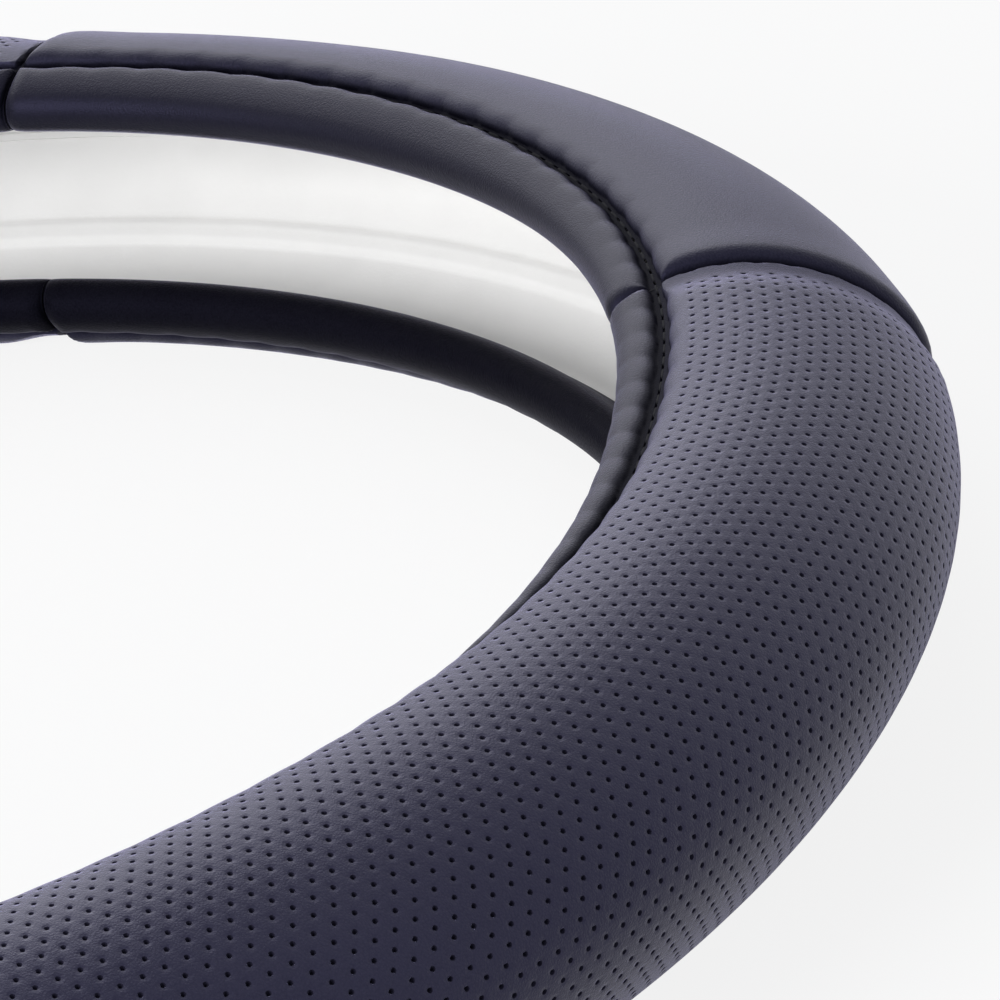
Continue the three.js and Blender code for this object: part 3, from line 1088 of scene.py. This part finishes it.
def strip_rings(tube, seam, first, last, seam_angle, lip_angle, side):
    """Rings of an edge strip, from its seam over the lip and back, and each point's depth in a seam."""
    shape = tube.shape
    turn_edge = shape.seam_gap / 2 / (shape.ring_radius - shape.tube_radius)
    start, end = first + turn_edge, last - turn_edge
    inner_radius = shape.ring_radius - shape.tube_radius / 2
    border = seam.shoulder / inner_radius
    middle = even_lines(start + border, end - border, STRIP_STEP / inner_radius)
    turns = np.array(framed_lines(start, end, middle))[:, None]

    to_cross = np.minimum(turns - start, end - turns) * inner_radius
    end_drop = rolled_edge(to_cross, 0.0, seam, seam.pucker_pitch, 0.0, seam.ridge_valley, seam.shoulder)
    seam_arc = float(tube.arc(seam_angle))
    edge_arc = seam_arc + tube.wander(turns, seam_arc) + side * shape.seam_gap / 2
    to_seam = np.array(SEAM_SHARES) * np.abs(float(tube.arc(lip_angle)) - edge_arc)
    along = turns * inner_radius
    drop = rolled_edge(to_seam, along, seam, seam.pucker_pitch, seam.pucker, seam.valley, seam.shoulder)
    depth = np.maximum(drop, STRIP_END_SHARE * end_drop)
    face = tube.section(tube.angle_at(edge_arc + side * to_seam), depth)

    nose_radius = (tail_depth(shape) + shape.tail_thickness) / 2
    nose_drop = depth[:, -1:] * (1 + np.cos(np.linspace(0, math.pi, NOSE_STEPS + 1))) / 2
    nose = lip_arc(tube, lip_angle, side, nose_radius, nose_radius - nose_drop, NOSE_STEPS)
    tail = strip_tail(tube, lip_angle, side)
    heel = tube.section(tube.angle_at(edge_arc), shape.leather_thickness)
    out, up = (
        np.concatenate([outside[:, :-1], fold, np.tile(inside, (len(turns), 1)), back], axis=1)
        for outside, fold, inside, back in zip(face, nose, tail, heel)
    )
    rings = tube.place(turns, out, up)
    # Marks for the painted seam shadow: the nose follows its drop, the tail takes none and the heel takes it
    # in full
    hidden = np.zeros((len(turns), tail.shape[1]))
    marks = np.concatenate([depth[:, :-1], nose_drop, hidden, np.full_like(turns, seam.groove)], axis=1)
    return (rings, marks) if side > 0 else (rings[:, ::-1], marks[:, ::-1])


def liner_profile(tube):
    """Closed section of the rubber liner with its grip ribs, anticlockwise, as distances and heights."""
    shape = tube.shape
    outer_depth = shape.leather_thickness + shape.layer_gap
    inner_depth = outer_depth + shape.liner_wall
    inner_radius = shape.tube_radius - inner_depth
    half_wall = shape.liner_wall / 2
    front, back = (
        np.array(lip_arc(tube, angle, side, outer_depth + half_wall, half_wall, LIP_STEPS))
        for angle, side in ((shape.front_lip, 1), (shape.back_lip, -1))
    )
    outer_angles = np.linspace(shape.back_lip, shape.front_lip, LINER_OUTER_POINTS)
    inner_angles = np.linspace(shape.front_lip, shape.back_lip, LINER_INNER_POINTS)
    bare = (shape.tail_length + shape.rib_margin) / inner_radius
    rib_angles = np.linspace(shape.front_lip - bare, shape.back_lip + bare, shape.rib_count)
    to_rib = np.min(np.abs(inner_angles[:, None] - rib_angles), axis=1) * inner_radius
    foot = shape.rib_width / 2
    rib = shape.rib_height * eased(to_rib, foot, foot - RIB_FLANK * shape.rib_width)
    parts = (
        tube.section(outer_angles, outer_depth),
        front[:, 1:-1],
        tube.section(inner_angles, inner_depth + rib),
        back[:, -2:0:-1],
    )
    return np.concatenate(parts, axis=1)


def stitch_tree():
    """Stitches along curves, one at every pitch, turned to follow the seam."""
    inputs = {"Stitch": "Object", "Pitch": "Float", "Thread": "Material"}
    tree, builder, entry = geometry_tree("Sewn Seam", inputs)
    curve = {"Curve": entry["Geometry"], "Length": entry["Pitch"]}
    path = builder.socket("GeometryNodeResampleCurve", {"mode": "LENGTH"}, curve)
    tangent = builder.socket("GeometryNodeInputTangent")
    turned = builder.socket("FunctionNodeAlignRotationToVector", {"axis": "X"}, {"Vector": tangent})
    finish_tree(builder, instances(builder, path, entry["Stitch"], turned), entry["Thread"])
    return tree


def stitch_object(seam, pitch):
    """One stitch: a thread that dives into the leather at both ends."""
    sides, steps = 8, 8
    half = pitch * seam.stitch_share / 2
    points, faces = [], []
    for i in range(1, steps):
        share = -1 + 2 * i / steps
        radius = seam.thread_radius * math.sqrt(1 - share**4)
        for k in range(sides):
            turn = 2 * math.pi * k / sides
            points.append((share * half, radius * math.cos(turn), radius * math.sin(turn)))
    first, last = len(points), len(points) + 1
    points += [(-half, 0, 0), (half, 0, 0)]
    last_ring = (steps - 2) * sides
    for k in range(sides):
        after = (k + 1) % sides
        faces.append((first, after, k))
        for ring in range(0, last_ring, sides):
            faces.append((ring + k, ring + after, ring + sides + after, ring + sides + k))
        faces.append((last, last_ring + k, last_ring + after))
    return helper_mesh("stitch", points, faces)


def sewn_seam(name, paths, pitch, seam, material):
    """Stitches along one or more paths, as one piece."""
    data = bpy.data.curves.new(name, "CURVE")
    data.dimensions = "3D"
    for points in paths:
        spline = data.splines.new("POLY")
        spline.points.add(len(points) - 1)
        spline.points.foreach_set("co", np.c_[points, np.ones(len(points))].ravel())
    values = {"Stitch": stitch_object(seam, pitch), "Pitch": pitch, "Thread": material}
    mesh = run_tree(add_object(name + "_path", data), stitch_tree(), values)
    mesh.name = name
    mesh.polygons.foreach_set("use_smooth", [True] * len(mesh.polygons))
    return add_object(name, mesh)


class COVER_OT_perforated_panels(bpy.types.Operator):
    """Make the two perforated leather panels"""

    bl_idname = "cover.perforated_panels"
    bl_label = "Perforated Panels"

    def execute(self, context):
        scene = context.scene
        tube = Tube(scene.cover_shape)
        shared = scene.cover_seam, scene.cover_perforation, scene.cover_finish
        for side, perforated, first, last in tube.stretches():
            if perforated:
                piece = perforated_panel(tube, *shared, side, first, last)
                declare(piece, "perforated_leather", f"perforated_panel_{side}")
        return {"FINISHED"}


class COVER_OT_smooth_panels(bpy.types.Operator):
    """Make the two plain leather panels"""

    bl_idname = "cover.smooth_panels"
    bl_label = "Plain Panels"

    def execute(self, context):
        scene = context.scene
        tube = Tube(scene.cover_shape)
        finish = scene.cover_finish
        material = leather_material("smooth_leather", finish, gloss=finish.plain_gloss)
        for side, perforated, first, last in tube.stretches():
            if not perforated:
                piece = smooth_panel(tube, scene.cover_seam, side, first, last, material)
                declare(piece, "smooth_leather", f"smooth_panel_{side}")
        return {"FINISHED"}


class COVER_OT_edge_strips(bpy.types.Operator):
    """Make the leather strips that fold over the two lips"""

    bl_idname = "cover.edge_strips"
    bl_label = "Edge Strips"

    def execute(self, context):
        scene = context.scene
        shape, seam, finish = scene.cover_shape, scene.cover_seam, scene.cover_finish
        tube = Tube(shape)
        # Painted shade: the strips' leather is darkened
        front, back = (
            leather_material(f"{edge}_strip_leather", finish, shade=finish.strip_painted_shade, gloss=gloss)
            # Painted shade: the back strips' copy is duller and darker than the front strips'
            for edge, gloss in (("front", finish.front_gloss), ("back", finish.back_shaded_gloss))
        )
        edges = (
            ("front", shape.front_seam, shape.front_lip, 1, front),
            ("back", shape.back_seam, shape.back_lip, -1, back),
        )
        for side, _, first, last in tube.stretches():
            for edge, seam_angle, lip_angle, way, material in edges:
                rings, marks = strip_rings(tube, seam, first, last, seam_angle, lip_angle, way)
                piece = loft(f"{edge}_leather_strip_{side}", rings, False, material)
                mark_groove(piece, marks.ravel(), seam)
                declare(piece, "strip_leather", f"{edge}_strip_{side}")
        return {"FINISHED"}


class COVER_OT_liner(bpy.types.Operator):
    """Make the moulded rubber liner"""

    bl_idname = "cover.liner"
    bl_label = "Rubber Liner"

    def execute(self, context):
        scene = context.scene
        tube = Tube(scene.cover_shape)
        turns = np.linspace(0, 2 * math.pi, LINER_STATIONS, endpoint=False)
        rings = tube.place(turns[:, None], *liner_profile(tube))
        piece = loft("moulded_liner", rings, True, rubber_material(scene.cover_finish), RUBBER_CREASE)
        declare(piece, "liner_rubber", "rubber_liner")
        return {"FINISHED"}


class COVER_OT_sewn_seams(bpy.types.Operator):
    """Sew the long seams and the seams across the tube"""

    bl_idname = "cover.sewn_seams"
    bl_label = "Sewn Seams"

    def execute(self, context):
        scene = context.scene
        shape, seam = scene.cover_shape, scene.cover_seam
        tube = Tube(shape)
        material = thread_material(scene.cover_finish)
        back_arc, front_arc = float(tube.arc(shape.back_seam)), float(tube.arc(shape.front_seam))

        def path(turns, arcs):
            angles = tube.angle_at(arcs + tube.wander(turns, arcs))
            return tube.layer(turns, angles, seam.thread_depth)

        for name, arc in (("front_seam_thread", front_arc), ("back_seam_thread", back_arc)):
            stretches = [np.linspace(first, last, LONG_PATH_POINTS) for _, _, first, last in tube.stretches()]
            paths = [path(turns, arc) for turns in stretches]
            piece = sewn_seam(name, paths, seam.pucker_pitch / 2, seam, material)
            declare(piece, "strip_leather")
        for side, _, first, _ in tube.stretches():
            arcs = np.linspace(back_arc, front_arc, CROSS_PATH_POINTS)
            name = f"cross_seam_thread_{side}"
            piece = sewn_seam(name, [path(first, arcs)], seam.cross_pitch, seam, material)
            declare(piece, "smooth_leather")
        return {"FINISHED"}


def camera_matrix(studio):
    """Where the camera stands and which way it looks."""
    place, heading = studio.camera_place, studio.camera_heading
    dip, roll = studio.camera_dip, studio.camera_roll
    ahead = Vector((-math.cos(place), -math.sin(place), 0))
    aside = Vector((ahead.y, -ahead.x, 0))
    level = ahead * math.cos(heading) + aside * math.sin(heading)
    right = aside * math.cos(heading) - ahead * math.sin(heading)
    forward = level * math.cos(dip) - Vector((0, 0, math.sin(dip)))
    up = right.cross(forward)
    turned_right = right * math.cos(roll) + up * math.sin(roll)
    turned_up = up * math.cos(roll) - right * math.sin(roll)
    matrix = Matrix((turned_right, turned_up, -forward)).transposed().to_4x4()
    matrix.translation = Vector((-ahead.x, -ahead.y, 0)) * studio.camera_radius
    matrix.translation.z = studio.camera_height
    return matrix


def seen_by_eye(builder):
    """1 for rays from the camera and those reflected or passed on by gloss, else 0."""
    rays = builder.node("ShaderNodeLightPath").outputs
    seen = Value(builder, rays["Is Camera Ray"])
    return seen.math("MAXIMUM", rays["Is Glossy Ray"]).math("MAXIMUM", rays["Is Transmission Ray"])


def area_lamp(name, turn, rise, distance, size, power, aim):
    """A soft square lamp that points at a height on the wheel's axis."""
    data = bpy.data.lights.new(name, "AREA")
    data.shape = "SQUARE"
    data.size = size
    data.energy = power
    lamp = add_object(name, data)
    level = distance * math.cos(rise)
    lamp.location = (level * math.cos(turn), level * math.sin(turn), distance * math.sin(rise))
    view = Vector((0, 0, aim)) - lamp.location
    lamp.rotation_euler = view.to_track_quat("-Z", "Y").to_euler()


def studio_floor(studio):
    """The pale floor, part lit surface and part plain backdrop."""
    material, builder = new_material("studio_floor")
    sockets = {"Base Color": opaque(studio.floor_colour), "Roughness": 0.9}
    lit = builder.socket("ShaderNodeBsdfPrincipled", None, sockets)
    white = builder.socket("ShaderNodeEmission", None, {"Color": opaque((1.0, 1.0, 1.0)), "Strength": 1.0})
    share = seen_by_eye(builder) * studio.backdrop
    mixed = builder.socket("ShaderNodeMixShader", None, [share, lit, white])
    builder.node("ShaderNodeOutputMaterial", None, {"Surface": mixed})
    half = studio.floor_size / 2
    corners = [(-half, -half, 0), (half, -half, 0), (half, half, 0), (-half, half, 0)]
    return mesh_from("studio_floor", corners, [(0, 1, 2, 3)], material)


def studio_world(studio):
    """Even light from all round, which the camera sees as white."""
    world = bpy.data.worlds.new("studio_world")
    world.use_nodes = True
    world.node_tree.nodes.clear()
    builder = NodeBuilder(world.node_tree)
    glow, white = (
        builder.socket("ShaderNodeBackground", None, {"Color": opaque(tone), "Strength": strength})
        for tone, strength in ((studio.glow_colour, studio.glow), (studio.backdrop_colour, 1.0))
    )
    mixed = builder.socket("ShaderNodeMixShader", None, [seen_by_eye(builder), glow, white])
    builder.node("ShaderNodeOutputWorld", None, {"Surface": mixed})
    return world


class COVER_OT_studio(bpy.types.Operator):
    """Set up the floor, the lamps and the camera"""

    bl_idname = "cover.studio"
    bl_label = "Studio"

    def execute(self, context):
        scene = context.scene
        studio = scene.cover_studio
        floor = studio_floor(studio)
        scene.world = studio_world(studio)
        for lamp in ("window", "front"):
            settings = ("turn", "rise", "distance", "size", "power", "aim")
            area_lamp(f"{lamp}_lamp", *[getattr(studio, f"{lamp}_{setting}") for setting in settings])
        data = bpy.data.cameras.new("studio_camera")
        data.sensor_width = 36.0
        data.lens = studio.camera_lens
        data.clip_end = studio.camera_reach
        camera = add_object("studio_camera", data)
        camera.matrix_world = camera_matrix(studio)
        scene.camera = camera
        scene.view_settings.view_transform = "Standard"
        return {"FINISHED"}


class COVER_PT_panel(bpy.types.Panel):
    """Steps that make the cover"""

    bl_label = "Steering Wheel Cover"
    bl_idname = "COVER_PT_panel"
    bl_space_type = "VIEW_3D"
    bl_region_type = "UI"
    bl_category = "Wheel Cover"

    def draw(self, context):
        for operator in OPERATORS:
            self.layout.operator(operator.bl_idname)


GROUPS = {
    "cover_shape": CoverShape,
    "cover_seam": SeamShape,
    "cover_perforation": Perforation,
    "cover_finish": Finish,
    "cover_studio": Studio,
}
OPERATORS = (
    COVER_OT_perforated_panels,
    COVER_OT_smooth_panels,
    COVER_OT_edge_strips,
    COVER_OT_liner,
    COVER_OT_sewn_seams,
    COVER_OT_studio,
)


def register():
    for group in (*GROUPS.values(), *OPERATORS, COVER_PT_panel):
        bpy.utils.register_class(group)
    for name, group in GROUPS.items():
        setattr(bpy.types.Scene, name, PointerProperty(type=group))


def unregister():
    for name in GROUPS:
        delattr(bpy.types.Scene, name)
    for group in (COVER_PT_panel, *reversed(OPERATORS), *GROUPS.values()):
        bpy.utils.unregister_class(group)


def main():
    register()
    bpy.ops.cover.perforated_panels()
    bpy.ops.cover.smooth_panels()
    bpy.ops.cover.edge_strips()
    bpy.ops.cover.liner()
    bpy.ops.cover.sewn_seams()
    bpy.ops.cover.studio()


if __name__ == "__main__":
    main()
